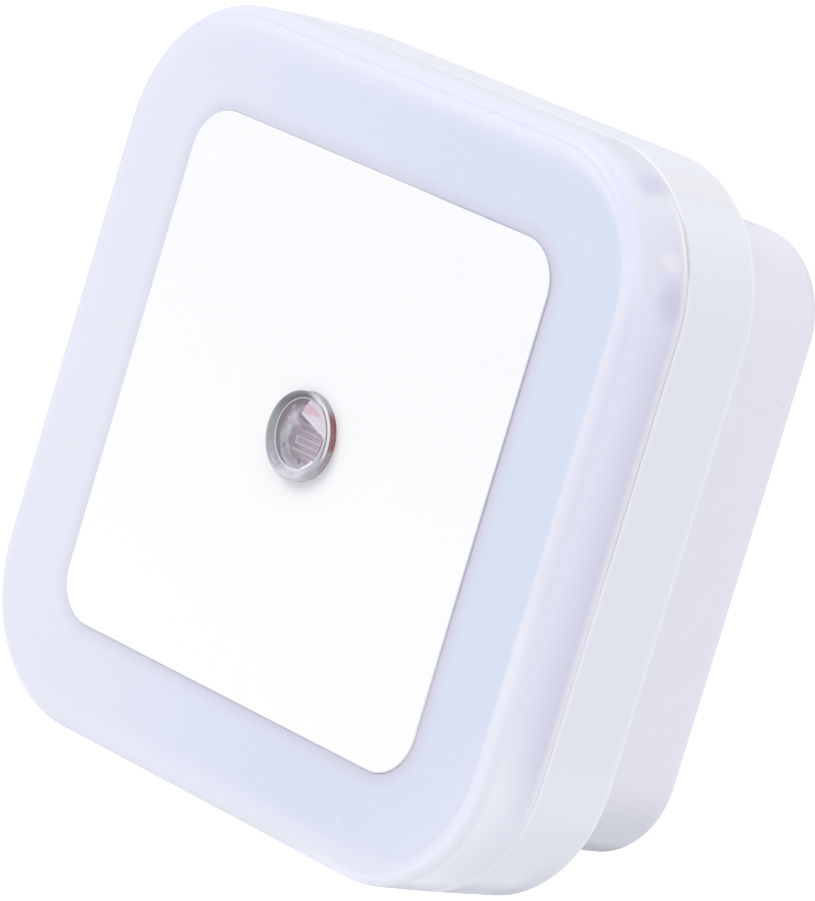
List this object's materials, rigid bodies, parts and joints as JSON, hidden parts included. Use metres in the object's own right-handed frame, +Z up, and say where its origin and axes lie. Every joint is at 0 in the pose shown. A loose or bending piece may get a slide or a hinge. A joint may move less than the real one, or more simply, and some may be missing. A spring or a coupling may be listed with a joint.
{
  "type": "plug in night light",
  "caption": "Square plug in night light with a stepped casing, translucent rim, white front plate, light sensor under a clear lens, and flat plug blades.",
  "frame": {"origin": "centre of the plinth's back face, midway between the blades where they leave it: the plane that rests on the wall plate", "axes": "+Z up with the light plugged in, +Y into the wall along the blades, so the front faces -Y; +X to the right seen from the front"},
  "size_m": [0.062, 0.0444, 0.062],
  "materials": {
    "casing_plastic": "smooth moulded, soft gloss",
    "diffuser_plastic": "translucent milky moulding, soft gloss",
    "plate_plastic": "smooth opaque white",
    "lens_clear": "clear moulded plastic, polished",
    "sleeve_plastic": "opaque moulded",
    "sensor_ceramic": "matt fired disc",
    "sensor_film": "thin metal film",
    "sensor_track": "resin coated sulphide film",
    "tinned_wire": "tinned",
    "board": "white solder mask on glass fibre",
    "led_package": "moulded resin",
    "led_phosphor": "silicone, unlit",
    "film_capacitor": "moulded box",
    "capacitor_can": "shrink sleeve over an aluminium can",
    "black_resin": "moulded resin",
    "resistor_tan": "dipped coating",
    "resistor_blue": "dipped coating",
    "wire_black": "insulation",
    "wire_white": "insulation",
    "blade_metal": "nickel plated brass",
    "retainer_plastic": "moulded",
    "screw_steel": "zinc plated"
  },
  "bodies": {
    "root": {"rear_casing": "casing_plastic", "diffuser": "diffuser_plastic", "front_plate": "plate_plastic", "sensor_lens": "lens_clear", "sensor_sleeve": "sleeve_plastic", "sensor_body": "sensor_ceramic", "sensor_electrodes": "sensor_film", "sensor_track": "sensor_track", "sensor_leads": "tinned_wire", "circuit_board": "board", "led_packages": "led_package", "led_phosphor": "led_phosphor", "dropper_capacitor": "film_capacitor", "smoothing_capacitor": "capacitor_can", "rectifier": "black_resin", "transistor": "black_resin", "bleeder_resistor": "resistor_tan", "inrush_resistor": "resistor_blue", "chip_resistors": "black_resin", "live_wire": "wire_black", "neutral_wire": "wire_white", "live_blade": "blade_metal", "neutral_blade": "blade_metal", "blade_retainer": "retainer_plastic", "board_screws": "screw_steel", "retainer_screws": "screw_steel", "solder_joints": "tinned_wire"}
  },
  "joints": []
}
